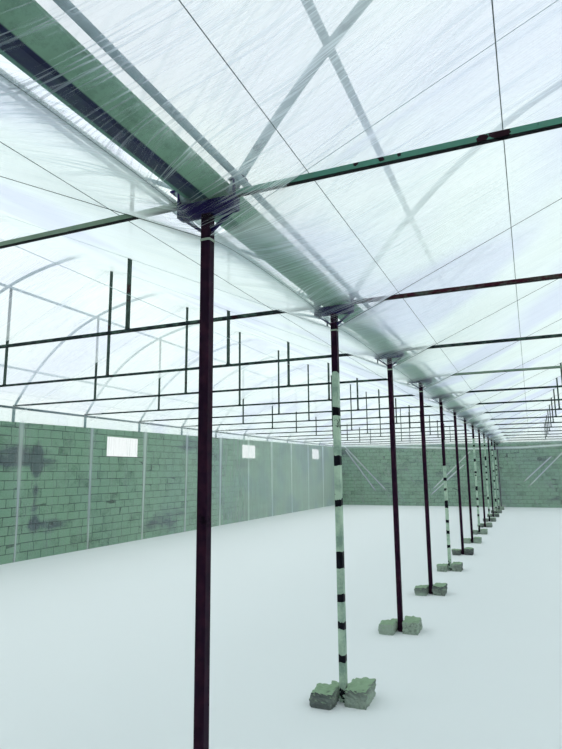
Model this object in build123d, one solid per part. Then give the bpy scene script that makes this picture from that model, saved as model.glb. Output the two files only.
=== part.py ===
from build123d import *
from math import cos, hypot, pi, sin
import os

# Twin-span polytunnel greenhouse. Millimetres, +Z up, +Y along the house to the far end.
# The valley post row is the X = 0 line and the house is mirrored about it.

# Frames and spans
bay = 2000.0
bays = 15
half_length = bay * bays / 2
frames = [-half_length + bay * i for i in range(bays + 1)]
span = 7888.0
mid = span / 2
seat = 0.3

# Posts, ties and the members that stand on them
post_side = 50.0
tie_side = 30.0
strut_side = 30.0
tie_bottom = 2955.0
tie_top = tie_bottom + tie_side

# Saddle on each valley post, and the gutter that lies in it
saddle_half = 160.0
saddle_depth = 60.0
saddle_base = 65.0
ear = 8.0
ear_top = 3045.0
flange_in = 35.0
flange_out = 45.0
brace_side = 14.0
brace_heel = 21.0
brace_foot = 2795.0
brace_toe_inset = 10.0
gutter_play = 22.0
gutter_rise = 45.0
gutter_lip = 15.0
gutter_skin = 3.0
gutter_end = 200.0
rail_radius = 17.0
rail_past_saddle = 51.0
pipe_sides = 24

# Arch pipe: rise(u) = arch_rise * (1 - u^2) * (1 + fullness * u^2), u from 0 at the crown to 1
arch_radius = 24.0
arch_rise = 1878.0
arch_base = 2968.0
eave_fullness = 0.53
valley_fullness = 0.44
eave_foot_inset = 14.0
foot_inside_saddle = 45.0
arch_steps = 6
arch_sides = 8
purlin_radius = 21.0
purlin_steps = (2, 4)

# Eave
eave_rail_side = 40.0
stub_side = 40.0

# Masonry: the side walls rise towards the far end under a level eave
wall = 180.0
wall_inset = 120.0
end_gap = 30.6
near_top = 2524.0
far_top = 2888.0
window_width = 1380.0
window_height = 467.0
window_below_top = 168.0
window_count = 4
window_pitch = 7000.0
window_row_middle = 1830.0
door_middle = mid
door_width = 1200.0
door_height = 2100.0

# Films and lining
film = 5.0
gable_lap = 100.0
lining_valley = 2764.0
lining_top = 4540.0
string_radius = 2.0
wire_lines = (535.0, 1366.0)
tie_turns = 12.0
tie_below_lining = 4.0

# Pieces of broken block round each post: left, right and behind
pad_reach = 200.0
pad_gap = 10.0
left_pad_height = 110.0
right_pad_height = 126.5
right_pad_front = 100.0
back_pad_height = 88.0
back_pad_left = 140.0
back_pad_back = 170.0

# Clearance of pipes, rails and end blocks from the gable films and end walls
pipe_stop = 1.0

wall_in = span - wall_inset
wall_out = wall_in + wall
windows = [window_row_middle + window_pitch * (i - (window_count - 1) / 2) for i in range(window_count)]
half_to_eave = mid - eave_foot_inset
half_to_valley = mid - (saddle_half - foot_inside_saddle)
gutter_half = saddle_half - ear - gutter_play
rail_x = saddle_half + rail_past_saddle
run = half_length + post_side / 2 - pipe_stop
end_in = half_length + end_gap
end_out = end_in + wall
lining_slope = (lining_top - lining_valley) / mid
saddle_bottom = tie_bottom - saddle_base
lining_face = half_length - saddle_depth / 2 - seat


def block(x0, x1, y0, y1, z0, z1):
    return Pos((x0 + x1) / 2, (y0 + y1) / 2, (z0 + z1) / 2) * Box(abs(x1 - x0), abs(y1 - y0), abs(z1 - z0))


def plate_xz(points, y0, y1):
    outline = Wire.make_polygon([Vector(x, y0, z) for x, z in points], close=True)
    return Solid.extrude(Face(outline), Vector(0, y1 - y0, 0))


def plate_yz(points, x0, x1):
    outline = Wire.make_polygon([Vector(x0, y, z) for y, z in points], close=True)
    return Solid.extrude(Face(outline), Vector(x1 - x0, 0, 0))


def rod(start, end, radius, sides=4):
    start, end = Vector(*start), Vector(*end)
    section = Plane(origin=start, z_dir=end - start) * RegularPolygon(radius, sides)
    return extrude(section, (end - start).length)


def pipe_along(x, z, radius):
    """A pipe along the house at a place in plan and height."""
    section = RegularPolygon(radius, pipe_sides, major_radius=False)
    return extrude(Plane(origin=(x, -run, z), z_dir=(0, 1, 0)) * section, 2 * run)


def moved(shape, x=0.0, y=0.0, z=0.0):
    return Pos(x, y, z) * shape


def across(shape):
    return mirror(shape, about=Plane.YZ)


def save(name, solids):
    solids = list(solids)
    node = solids[0] if len(solids) == 1 else Compound(children=solids)
    node.label = name
    export_step(node, f"parts/{name}.step")


def side_top(y):
    along = (y + end_out) / (2 * end_out)
    return near_top + (far_top - near_top) * along


def lining_z(x):
    """Underside of the lining at a distance from the valley line."""
    x = min(abs(x), 2 * mid - abs(x))
    return lining_valley + lining_slope * x


# The right-hand arch: points (x, z) on the pipe's axis from the valley foot to the eave foot
def arch_point(step):
    side = -1 if step < 0 else 1
    u = sin(abs(step) / arch_steps * pi / 2)
    reach, fullness = (half_to_eave, eave_fullness) if side > 0 else (half_to_valley, valley_fullness)
    return (mid + side * reach * u, arch_base + arch_rise * (1 - u * u) * (1 + fullness * u * u))


axis = [arch_point(step) for step in range(-arch_steps, arch_steps + 1)]


def unit(a, b):
    run = hypot(b[0] - a[0], b[1] - a[1])
    return ((b[0] - a[0]) / run, (b[1] - a[1]) / run)


def outward(i):
    """Outward direction at an axis point and the stretch that a mitre gives there."""
    ahead = unit(axis[i], axis[i + 1]) if i < len(axis) - 1 else unit(axis[i - 1], axis[i])
    behind = unit(axis[i - 1], axis[i]) if i > 0 else ahead
    nx, nz = -(ahead[1] + behind[1]), ahead[0] + behind[0]
    size = hypot(nx, nz)
    nx, nz = nx / size, nz / size
    stretch = 1 / (nx * -ahead[1] + nz * ahead[0])
    return nx, nz, stretch


def beside(i, distance):
    nx, nz, stretch = outward(i)
    return (axis[i][0] + nx * distance * stretch, axis[i][1] + nz * distance * stretch)


def height_on(line, x):
    """Height of a line of points at a distance from the valley line."""
    for a, b in zip(line, line[1:]):
        if a[0] <= x <= b[0]:
            return a[1] + (b[1] - a[1]) * (x - a[0]) / (b[0] - a[0])


def to_level(point, direction, level):
    slide = (level - point[1]) / direction[1]
    return (point[0] + direction[0] * slide, level)


def arch_solid():
    """One bent pipe as a mitred eight-sided tube, its feet cut level."""
    apothem = arch_radius
    corner = apothem / cos(pi / arch_sides)
    angles = [2 * pi * (k + 0.5) / arch_sides for k in range(arch_sides)]
    rings = []
    for i in range(len(axis)):
        ring = []
        for a in angles:
            x, z = beside(i, corner * cos(a))
            if i == 0:
                x, z = to_level((x, z), unit(axis[0], axis[1]), ear_top + seat)
            if i == len(axis) - 1:
                x, z = to_level((x, z), unit(axis[-2], axis[-1]), tie_top + seat)
            ring.append(Vector(x, corner * sin(a), z))
        rings.append(ring)
    faces = [Face(Wire.make_polygon(rings[0], close=True)), Face(Wire.make_polygon(rings[-1], close=True))]
    for near, far in zip(rings, rings[1:]):
        for k in range(arch_sides):
            n = (k + 1) % arch_sides
            faces.append(Face(Wire.make_polygon([near[k], near[n], far[n], far[k]], close=True)))
    return Solid(Shell(faces))


os.makedirs("parts", exist_ok=True)

# Valley posts, their footing blocks and saddles
post = block(-post_side / 2, post_side / 2, -post_side / 2, post_side / 2, 0, saddle_bottom - seat)
save("valley_posts", [moved(post, y=y) for y in frames])

# Footing blocks: three round a post, and at the end frames only two fit between film and wall
beside_post = post_side / 2 + seat
pads = []
for y in frames[1:-1]:
    pads.append(block(-pad_reach, -beside_post, y - pad_reach, y + beside_post - pad_gap, 0, left_pad_height))
    pads.append(block(beside_post, pad_reach, y - right_pad_front, y + pad_reach, 0, right_pad_height))
    pads.append(block(-back_pad_left, beside_post - pad_gap, y + beside_post, y + back_pad_back,
                      0, back_pad_height))
for side in (-1, 1):
    for x0, x1 in ((-pad_reach, -beside_post), (beside_post, pad_reach)):
        pads.append(block(x0, x1, side * (lining_face + seat), side * (end_in - pipe_stop),
                          0, left_pad_height))
save("post_pads", pads)

base = block(-saddle_half, saddle_half, -saddle_depth / 2, saddle_depth / 2, saddle_bottom, tie_bottom)
saddle = base
for side in (-1, 1):
    upstand = block(side * (saddle_half - ear), side * saddle_half,
                    -saddle_depth / 2, saddle_depth / 2, tie_bottom, ear_top)
    flange = block(side * (saddle_half - flange_in), side * (saddle_half + flange_out),
                   -saddle_depth / 2, saddle_depth / 2, ear_top - ear, ear_top)
    toe = saddle_half - brace_toe_inset
    bar = plate_xz([(side * beside_post, brace_foot), (side * beside_post, brace_foot + brace_heel),
                    (side * (toe - brace_side), saddle_bottom), (side * toe, saddle_bottom)],
                   -brace_side / 2, brace_side / 2)
    saddle = saddle + upstand + flange + bar
saddle = saddle.solid() if hasattr(saddle, "solid") else saddle
save("post_saddles", [moved(saddle, y=y) for y in frames])

fold = tie_bottom + seat
bend, lip_top = fold + gutter_rise, fold + gutter_rise + gutter_lip
gutter_in = gutter_half - gutter_skin
under = [(-gutter_half, lip_top), (-gutter_half, bend), (0, fold),
         (gutter_half, bend), (gutter_half, lip_top)]
over = [(gutter_in, lip_top), (gutter_in, bend + gutter_skin), (0, fold + gutter_skin),
        (-gutter_in, bend + gutter_skin), (-gutter_in, lip_top)]
save("valley_gutter", [plate_xz(under + over, -half_length - gutter_end, half_length + gutter_end)])

rail_z = tie_top + seat + rail_radius
save("gutter_rails", [pipe_along(side * rail_x, rail_z, rail_radius) for side in (-1, 1)])

# Tie beams and the struts that stand on them
tie = block(saddle_half + seat, span + eave_rail_side / 2,
            -tie_side / 2, tie_side / 2, tie_bottom, tie_top)
right_ties = [moved(tie, y=y) for y in frames]
save("tie_beams_right", right_ties)
save("tie_beams_left", [across(t) for t in right_ties])


def purlin_centre(step):
    return beside(step + arch_steps, -(arch_radius + seat + purlin_radius))


ridge_x, ridge_z = purlin_centre(0)
right_purlins = []
for step in purlin_steps:
    for side in (-1, 1):
        x, z = purlin_centre(side * step)
        right_purlins.append(pipe_along(x, z, purlin_radius))
save("purlins_right", right_purlins)
save("purlins_left", [across(p) for p in right_purlins])
ridge_pipe = pipe_along(ridge_x, ridge_z, purlin_radius)
save("ridge_pipes", [ridge_pipe, across(ridge_pipe)])


def strut(x, top):
    return block(x - strut_side / 2, x + strut_side / 2, -strut_side / 2, strut_side / 2, tie_top + seat, top)


king = strut(ridge_x, ridge_z - purlin_radius - seat)
right_kings = [moved(king, y=y) for y in frames]
save("king_posts_right", right_kings)
save("king_posts_left", [across(k) for k in right_kings])

right_queens = []
for side in (-1, 1):
    x, z = purlin_centre(side * purlin_steps[0])
    queen = strut(x, z - purlin_radius - seat)
    right_queens += [moved(queen, y=y) for y in frames]
save("queen_posts_right", right_queens)
save("queen_posts_left", [across(q) for q in right_queens])

# Arches
arch = arch_solid()
right_arches = [moved(arch, y=y) for y in frames]
save("arches_right", right_arches)
save("arches_left", [across(a) for a in right_arches])

# Eave rails on stubs that stand on the side walls
rail_low = tie_bottom - seat - eave_rail_side
eave_rail = block(span - eave_rail_side / 2, span + eave_rail_side / 2, -run, run,
                  rail_low, rail_low + eave_rail_side)
save("eave_rails", [eave_rail, across(eave_rail)])
stubs = []
for y in frames:
    stub = block(span - stub_side / 2, span + stub_side / 2, y - stub_side / 2, y + stub_side / 2,
                 side_top(y + stub_side / 2) + seat, rail_low - seat)
    stubs += [stub, across(stub)]
save("wall_stubs", stubs)

# Side walls: piers between the windows, a panel under each window and a head over it
edges = [-end_out]
for y in windows:
    edges += [y - window_width / 2, y + window_width / 2]
edges.append(end_out)
piers = [plate_yz([(a, 0), (b, 0), (b, side_top(b)), (a, side_top(a))], wall_in, wall_out)
         for a, b in zip(edges[::2], edges[1::2])]
panels, heads = [], []
for y in windows:
    a, b = y - window_width / 2, y + window_width / 2
    head = side_top(y) - window_below_top
    panels.append(block(wall_in, wall_out, a, b, 0, head - window_height))
    heads.append(plate_yz([(a, head), (b, head), (b, side_top(b)), (a, side_top(a))], wall_in, wall_out))
save("right_wall_piers", piers)
save("left_wall_piers", [across(p) for p in piers])
save("right_wall_panels", panels)
save("left_wall_panels", [across(p) for p in panels])
save("right_wall_heads", heads)
save("left_wall_heads", [across(h) for h in heads])

# End walls between the side walls, the near one with a doorway
save("far_wall", [block(-wall_in, wall_in, end_in, end_out, 0, far_top)])
door_a, door_b = door_middle - door_width / 2, door_middle + door_width / 2
save("near_wall", [block(-wall_in, door_a, -end_out, -end_in, 0, near_top),
                   block(door_b, wall_in, -end_out, -end_in, 0, near_top)])
save("near_door_head", [block(door_a, door_b, -end_out, -end_in, door_height, near_top)])

# Roof film over the arches, in the flats between its fold lines
cover_in, cover_out = arch_radius + seat, arch_radius + seat + film
cover_run = half_length + arch_radius


def cover_strip(i):
    along = unit(axis[i], axis[i + 1])
    starts = [beside(i, cover_in), beside(i, cover_out)]
    ends = [beside(i + 1, cover_in), beside(i + 1, cover_out)]
    if i == 0:
        starts = [to_level(p, along, ear_top + seat) for p in starts]
    if i == len(axis) - 2:
        ends = [to_level(p, along, tie_top + seat) for p in ends]
    trim_x, trim_z = along[0] * seat / 2, along[1] * seat / 2
    low, top = [(x + trim_x, z + trim_z) for x, z in starts]
    low_end, top_end = [(x - trim_x, z - trim_z) for x, z in ends]
    return plate_xz([low, low_end, top_end, top], -cover_run, cover_run)


inner_strips = [cover_strip(i) for i in range(arch_steps)]
outer_strips = [cover_strip(i) for i in range(arch_steps, 2 * arch_steps)]
save("roof_film_right_inner", inner_strips)
save("roof_film_right_outer", outer_strips)
save("roof_film_left_inner", [across(s) for s in inner_strips])
save("roof_film_left_outer", [across(s) for s in outer_strips])

# Gable films outside the end frames, lapping inside the end walls
film_in = half_length + beside_post
film_out = film_in + film
arch_line = [beside(i, arch_radius) for i in range(len(axis))]
gable_inner = saddle_half + flange_out + seat
gable_outer = wall_in - seat


def gable(low):
    points = [(gable_inner, low), (gable_outer, low), (gable_outer, height_on(arch_line, gable_outer))]
    points += [p for p in reversed(arch_line) if gable_inner < p[0] < gable_outer]
    points.append((gable_inner, height_on(arch_line, gable_inner)))
    return points


for name, wall_top, side in (("far_gable_films", far_top, 1), ("near_gable_films", near_top, -1)):
    low = wall_top - gable_lap
    sheet = plate_xz(gable(low), side * film_in, side * film_out)
    middle = block(-gable_inner + seat, gable_inner - seat, side * film_in, side * film_out,
                   low, saddle_bottom - seat)
    save(name, [sheet, across(sheet), middle])

# Skirt film from the eave down to the top of each side wall
skirt_in = span + eave_rail_side / 2 + seat
skirt_edge = [(-run, side_top(-run) + seat), (run, side_top(run) + seat), (run, tie_top), (-run, tie_top)]
skirt = plate_yz(skirt_edge, skirt_in, skirt_in + film)
save("eave_skirt_films", [skirt, across(skirt)])

# Inner lining: a tent in each span, tied down to the valley posts and up to the king posts
lining_end = lining_face - film - seat
eave_stop = wall_in - seat - film - seat


def lining_panel(y0, y1, x0, x1):
    low, high = lining_z(x0), lining_z(x1)
    return plate_xz([(x0, low), (x1, high), (x1, high + film), (x0, low + film)], y0, y1)


bay_ends = []
for a, b in zip(frames, frames[1:]):
    bay_ends.append((max(a + tie_side / 2 + seat, -lining_end), min(b - tie_side / 2 - seat, lining_end)))
valley_panels = [lining_panel(a, b, post_side / 2 + film, mid - seat) for a, b in bay_ends]
eave_panels = [lining_panel(a, b, mid + seat, wall_in - seat) for a, b in bay_ends]
save("lining_right_valley_slope", valley_panels)
save("lining_right_eave_slope", eave_panels)
save("lining_left_valley_slope", [across(p) for p in valley_panels])
save("lining_left_eave_slope", [across(p) for p in eave_panels])

wall_lining = block(wall_in - seat - film, wall_in - seat, -lining_end, lining_end,
                    0, lining_z(wall_in) - seat)
save("wall_linings", [wall_lining, across(wall_lining)])


def end_lining(x0, x1, low):
    top = [(x1, lining_z(x1))]
    if x0 < mid < x1:
        top.append((mid, lining_top))
    return [(x0, low), (x1, low)] + top + [(x0, lining_z(x0))]


inside = lining_face
whole = plate_xz(end_lining(seat / 2, eave_stop, 0), inside - film, inside)
save("far_lining", [whole, across(whole)])
near_whole = across(plate_xz(end_lining(seat / 2, eave_stop, 0), -inside, film - inside))
near_a = plate_xz(end_lining(seat / 2, door_a, 0), -inside, film - inside)
near_b = plate_xz(end_lining(door_b, eave_stop, 0), -inside, film - inside)
save("near_lining", [near_whole, near_a, near_b])
near_over = plate_xz(end_lining(door_a + seat, door_b - seat, door_height), -inside, film - inside)
save("near_lining_over_door", [near_over])

# Wires along the house on the ties, and the strings that hold the lining up at each frame
wire_z = tie_top + seat + string_radius
wires = []
for line in wire_lines:
    for x in (line, 2 * mid - line):
        wire = rod((x, -lining_end, wire_z), (x, lining_end, wire_z), string_radius)
        wires += [wire, across(wire)]
save("lining_wires", wires)

drop = (string_radius + seat) * hypot(1, lining_slope)
strings = []
for y in frames[1:-1]:
    line_y = y - tie_side / 2 - seat - string_radius
    foot = post_side / 2 + string_radius
    up = rod((foot, line_y, lining_z(foot) - drop), (mid, line_y, lining_top - drop), string_radius)
    down = rod((mid, line_y - 2 * string_radius - seat, lining_top - drop),
               (eave_stop, line_y - 2 * string_radius - seat, lining_z(eave_stop) - drop), string_radius)
    strings += [up, down, across(up), across(down)]
save("lining_strings", strings)

turn_in = beside_post
turn_out = turn_in + 2 * string_radius
turn_top = lining_valley - tie_below_lining
turn = (block(-turn_out, turn_out, -turn_out, turn_out, turn_top - tie_turns, turn_top)
        - block(-turn_in, turn_in, -turn_in, turn_in, turn_top - tie_turns, turn_top))
turn = turn.solid() if hasattr(turn, "solid") else turn
save("post_ties", [moved(turn, y=y) for y in frames[1:-1]])
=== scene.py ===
import bpy
import bmesh
import random
from math import ceil, cos, exp, hypot, pi, radians, sin
from mathutils import Matrix, Vector, noise


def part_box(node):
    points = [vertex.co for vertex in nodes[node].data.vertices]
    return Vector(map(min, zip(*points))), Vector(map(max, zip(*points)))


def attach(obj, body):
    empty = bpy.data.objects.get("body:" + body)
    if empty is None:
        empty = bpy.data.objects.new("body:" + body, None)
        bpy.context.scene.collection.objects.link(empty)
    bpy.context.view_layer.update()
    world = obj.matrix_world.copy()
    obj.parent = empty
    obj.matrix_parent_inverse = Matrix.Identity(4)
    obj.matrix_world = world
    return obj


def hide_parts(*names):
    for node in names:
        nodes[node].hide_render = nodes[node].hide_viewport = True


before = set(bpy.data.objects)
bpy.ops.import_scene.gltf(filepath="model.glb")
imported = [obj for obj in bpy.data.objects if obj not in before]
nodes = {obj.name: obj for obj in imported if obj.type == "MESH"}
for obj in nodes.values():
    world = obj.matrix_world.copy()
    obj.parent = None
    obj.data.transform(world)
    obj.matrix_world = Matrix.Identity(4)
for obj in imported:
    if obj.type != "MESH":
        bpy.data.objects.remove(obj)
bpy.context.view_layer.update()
scene = bpy.context.scene
draw = random.Random(41)

# The photograph's frame in pixels and its camera, in metres and degrees
image_height = 749
focal_pixels = 576.95
sensor_mm = 36.0
eye = Vector((1.371, -13.315, 1.640))
yaw, pitch, roll = radians(23.11), radians(9.593), radians(-0.5305)

# Sizes taken from the frame
post_low, post_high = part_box("valley_posts")
post_side = post_high.x - post_low.x
half_post = post_side / 2
half_length = post_high.y - post_side / 2
post_top = post_high.z
bays = 15
bay = 2 * half_length / bays
frames = [-half_length + bay * i for i in range(bays + 1)]
tie_low, tie_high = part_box("tie_beams_right")
tie_side = tie_high.z - tie_low.z
king_low, king_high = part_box("king_posts_right")
queen_low, queen_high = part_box("queen_posts_right")
mid = (king_low.x + king_high.x) / 2
strut_side = king_high.x - king_low.x
wall_low, wall_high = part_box("right_wall_piers")
wall_in, wall_out, wall_end = wall_low.x, wall_high.x, wall_high.y
far_low, far_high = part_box("far_wall")
near_low, near_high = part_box("near_wall")
door_low, door_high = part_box("near_door_head")
lining_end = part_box("lining_right_valley_slope")[1].y
saddle_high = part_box("post_saddles")[1]

# Arch pipe: the same curve as the frame's arches, and the film on them
arch_radius = 0.024
arch_rise = 1.878
arch_base = 2.968
eave_fullness, valley_fullness = 0.53, 0.44
half_to_eave, half_to_valley = mid - 0.014, mid - 0.115
arch_sides, arch_stops = 12, 56
foot_lift = 0.006
seat = 0.0003
film = 0.005

# Inner lining: a tent in each span, drawn up between the posts to a crease beside the gutter
lining_valley = 2.764
lining_top = 4.540
lining_slope = (lining_top - lining_valley) / mid
crease_shift, crease_lift = 0.115, 0.155
string_z = 2.754

# Window openings in the side walls
window_width, window_height, window_below_top = 1.380, 0.467, 0.168
window_row_middle, window_pitch, window_count = 1.830, 7.0, 4

# Rounded corners of the square tube
post_wear, tie_wear = 0.003, 0.002

# Masonry: courses and joints, how much blocks differ, and the least block and part of one that is laid
course = 0.170
block_length = 0.336
joint = 0.011
joint_depth = 0.004
block_wear, block_jitter = 0.003, 0.002
start_play, length_play, bed_play, face_play = 0.08, 0.012, 0.003, 0.0025
least_length, least_height = 0.04, 0.03
least_cut_length, least_cut_height = 0.03, 0.02

# Damp places on the left wall: middle and reach along each axis
damp_places = [
    ((-wall_in, -4.7, 1.87), (1.0, 1.9, 0.28)),
    ((-wall_in, -4.45, 1.3), (1.0, 0.14, 0.9)),
    ((-wall_in, -4.0, 0.62), (1.0, 1.1, 0.20)),
]


def hex_colour(text):
    """A linear colour from an sRGB hex value."""
    values = [int(text[i:i + 2], 16) / 255 for i in (1, 3, 5)]
    return tuple(v / 12.92 if v <= 0.04045 else ((v + 0.055) / 1.055) ** 2.4 for v in values) + (1.0,)


def add_node(material, kind, inputs=None, stops=None, **settings):
    """A node with its settings, its ramp stops and its inputs. An input is a value, a socket to link, or
    a node, which stands for the first of its outputs in use."""
    tree = material.node_tree
    made = tree.nodes.new(kind)
    for name, value in settings.items():
        setattr(made, name, value)
    if stops:
        elements = made.color_ramp.elements
        while len(elements) < len(stops):
            elements.new(0.5)
        for element, (position, value) in zip(elements, stops):
            element.position = position
            element.color = hex_colour(value)
    for name, value in (inputs or {}).items():
        if isinstance(value, bpy.types.Node):
            value = next(output for output in value.outputs if output.enabled)
        if isinstance(value, bpy.types.NodeSocket):
            tree.links.new(value, made.inputs[name])
        else:
            made.inputs[name].default_value = hex_colour(value) if isinstance(value, str) else value
    return made


def new_material(name):
    material = bpy.data.materials.new(name)
    material.use_nodes = True
    material.node_tree.nodes.clear()
    return material


def finish_material(material, shader):
    add_node(material, "ShaderNodeOutputMaterial", {"Surface": shader})
    return material


def piece(name, made, material, replaces=(), smooth=False):
    """A finished piece at the origin that rides on the root body."""
    mesh = bpy.data.meshes.new(name)
    made.to_mesh(mesh)
    made.free()
    if smooth:
        mesh.shade_smooth()
    mesh.materials.append(material)
    finished = bpy.data.objects.new(name, mesh)
    scene.collection.objects.link(finished)
    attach(finished, "root")
    if replaces:
        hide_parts(*replaces)
    return finished


def dress(material, *names):
    """Gives CAD nodes their material."""
    for name in names:
        mesh = nodes[name].data
        if mesh.materials:
            for i in range(len(mesh.materials)):
                mesh.materials[i] = material
        else:
            mesh.materials.append(material)


def repeated(source, matrices):
    """One mesh with a copy of the source at each matrix."""
    once = bpy.data.meshes.new("once")
    source.to_mesh(once)
    source.free()
    made = bmesh.new()
    for matrix in matrices:
        copy = once.copy()
        copy.transform(matrix)
        made.from_mesh(copy)
        bpy.data.meshes.remove(copy)
    bpy.data.meshes.remove(once)
    return made


def box(xs, ys, zs, value=0.0):
    """The low corner, the high corner and a value of a box, from its two ends along each axis."""
    low, high = zip(sorted(xs), sorted(ys), sorted(zs))
    return Vector(low), Vector(high), value


def add_box(made, low, high):
    """Adds a box to a mesh and gives its vertices."""
    place = Matrix.Translation((low + high) / 2) @ Matrix.Diagonal((*(high - low), 1))
    return bmesh.ops.create_cube(made, size=1, matrix=place)["verts"]


def boxes(sizes, wear, jitter=0.0):
    """Bevelled boxes in one mesh, the value of each in its tone."""
    made = bmesh.new()
    tone = made.verts.layers.float.new("tone")
    for low, high, value in sizes:
        for v in add_box(made, low, high):
            v[tone] = value
            inward = (low + high) / 2 - v.co
            for axis in range(3):
                v.co[axis] += draw.random() * jitter * (1 if inward[axis] > 0 else -1)
    bmesh.ops.bevel(made, geom=made.edges, affect="EDGES", offset=wear, segments=1, profile=0.5,
                    material=-1)
    return made


def swept(path, radius, sides):
    """A round tube along a path, its ends closed."""
    made = bmesh.new()
    ring = bmesh.ops.create_circle(made, cap_ends=False, segments=sides, radius=radius)["verts"]
    edges = list(made.edges)
    place = None
    for i, point in enumerate(path):
        ahead = path[min(i + 1, len(path) - 1)]
        behind = path[max(i - 1, 0)]
        here = Matrix.Translation(point) @ (ahead - behind).to_track_quat("Z", "Y").to_matrix().to_4x4()
        if place is None:
            bmesh.ops.transform(made, matrix=here, verts=ring)
            bmesh.ops.edgeloop_fill(made, edges=edges)
        else:
            grown = bmesh.ops.extrude_edge_only(made, edges=edges)["geom"]
            ring = [g for g in grown if isinstance(g, bmesh.types.BMVert)]
            edges = [g for g in grown if isinstance(g, bmesh.types.BMEdge)]
            bmesh.ops.transform(made, matrix=here @ place.inverted(), verts=ring)
        place = here
    bmesh.ops.edgeloop_fill(made, edges=edges)
    bmesh.ops.recalc_face_normals(made, faces=made.faces)
    return made


def cloth(columns, rows, shape):
    """A sheet from a grid. The shape gives, for 0 to 1 across and along, the place, the place in the flat
    sheet in metres with its creases along U, how much the film is gathered and how far it is creased."""
    made = bmesh.new()
    made.loops.layers.uv.new("flat")
    bmesh.ops.create_grid(made, x_segments=columns, y_segments=rows, size=0.5, calc_uvs=True)
    flat = made.loops.layers.uv["flat"]
    gather = made.verts.layers.float.new("gather")
    creased = made.verts.layers.float.new("creased")
    places = {}
    for v in made.verts:
        v.co, places[v], v[gather], v[creased] = shape(v.co.x + 0.5, v.co.y + 0.5)
    for face in made.faces:
        for loop in face.loops:
            loop[flat].uv = places[loop.vert]
    return made


def smooth_step(low, high, value):
    t = min(max((value - low) / (high - low), 0.0), 1.0)
    return t * t * (3 - 2 * t)


def nearest_frame(y):
    return round((y + half_length) / bay)


def mid_bay(y):
    """0 at a frame and 1 halfway to the next."""
    return abs(sin((y + half_length) / bay * pi))


def side_top(y):
    """The height of the side walls, which rise towards the far end."""
    return near_high.z + (far_high.z - near_high.z) * (y + wall_end) / (2 * wall_end)


def lining_z(x):
    """The height of the lining's tents."""
    x = min(abs(x), 2 * mid - abs(x))
    return lining_valley + lining_slope * x


def arch_point(t):
    """The arch's axis for t from -1 at the valley foot to 1 at the eave foot, in the right span."""
    side = -1 if t < 0 else 1
    u = sin(abs(t) * pi / 2)
    reach, fullness = (half_to_eave, eave_fullness) if side > 0 else (half_to_valley, valley_fullness)
    return mid + side * reach * u, arch_base + arch_rise * (1 - u * u) * (1 + fullness * u * u)


def arch_offset(t, distance):
    """A point at a distance outside the arch's axis."""
    step = 0.002
    (ax, az), (bx, bz) = arch_point(max(t - step, -1)), arch_point(min(t + step, 1))
    run = hypot(bx - ax, bz - az)
    x, z = arch_point(t)
    return x - (bz - az) / run * distance, z + (bx - ax) / run * distance


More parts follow.
